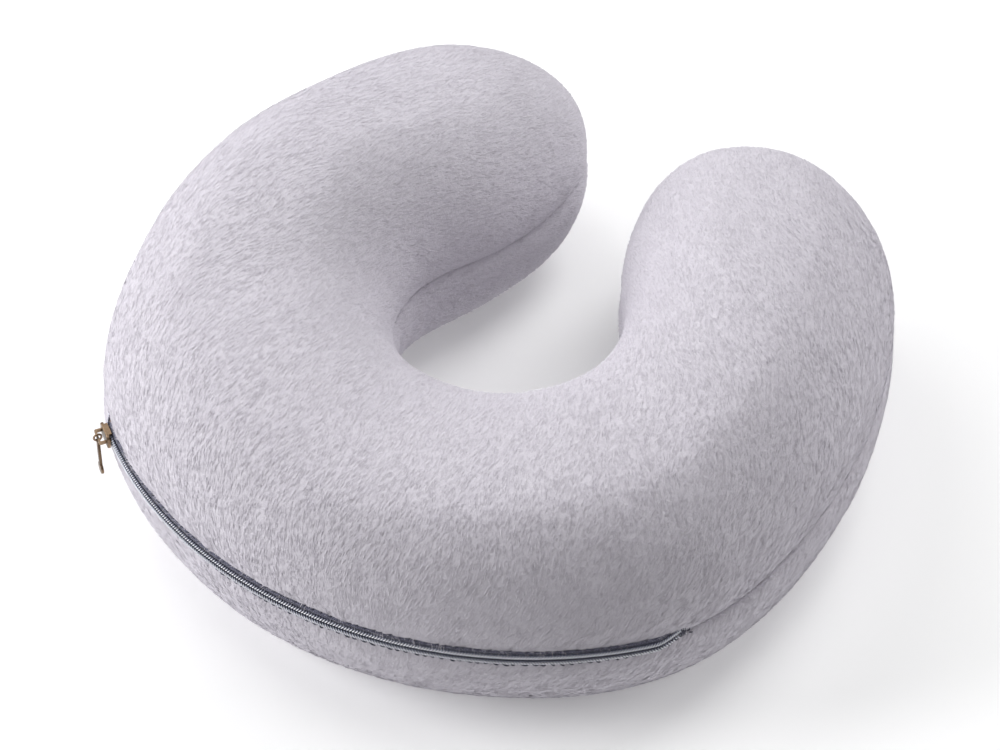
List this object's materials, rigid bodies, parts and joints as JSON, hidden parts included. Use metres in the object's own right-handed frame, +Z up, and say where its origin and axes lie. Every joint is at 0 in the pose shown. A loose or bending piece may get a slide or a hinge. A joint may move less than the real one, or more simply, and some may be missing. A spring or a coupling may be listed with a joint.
{
  "type": "neck pillow",
  "caption": "U shaped travel neck pillow: a foam horseshoe in a plush cover with a coil zip, a slider that travels along the chain and a hanging pull.",
  "frame": {"origin": "middle of the pillow's box at the level of the flat base it lies on", "axes": "+Z up, the open end of the U towards +Y, the middle of the back towards -Y, +X to the right arm seen from the back"},
  "size_m": [0.301, 0.2967, 0.108],
  "materials": {
    "plush": "short pile velour",
    "foam": "open cell foam",
    "tape": "woven polyester",
    "coil": "nylon monofilament",
    "thread": "spun polyester thread",
    "brass": "antiqued"
  },
  "bodies": {
    "pillow": {"foam_core": "foam", "cover_upper_panel": "plush", "cover_lower_panel": "plush", "zip_tape_upper": "tape", "zip_tape_lower": "tape", "zip_coil_upper": "coil", "zip_coil_lower": "coil", "zip_coil_thread_upper": "thread", "zip_coil_thread_lower": "thread", "zip_stitch_upper": "thread", "zip_stitch_lower": "thread", "zip_tack_left": "thread", "zip_tack_right": "thread"},
    "slider": {"slider_body": "brass"},
    "pull": {"pull_tab": "brass"}
  },
  "joints": [
    {"name": "slider_travel", "type": "hinge", "parent": "pillow", "child": "slider", "pos_m": [0, 0.0279, 0.047], "axis": [0, 0, 1], "range_deg": [0, 82]},
    {"name": "pull_swing", "type": "hinge", "parent": "slider", "child": "pull", "pos_m": [-0.11798, -0.10782, 0.047], "axis": [-0.7547, 0.6561, 0], "range_deg": [0, 175]}
  ]
}
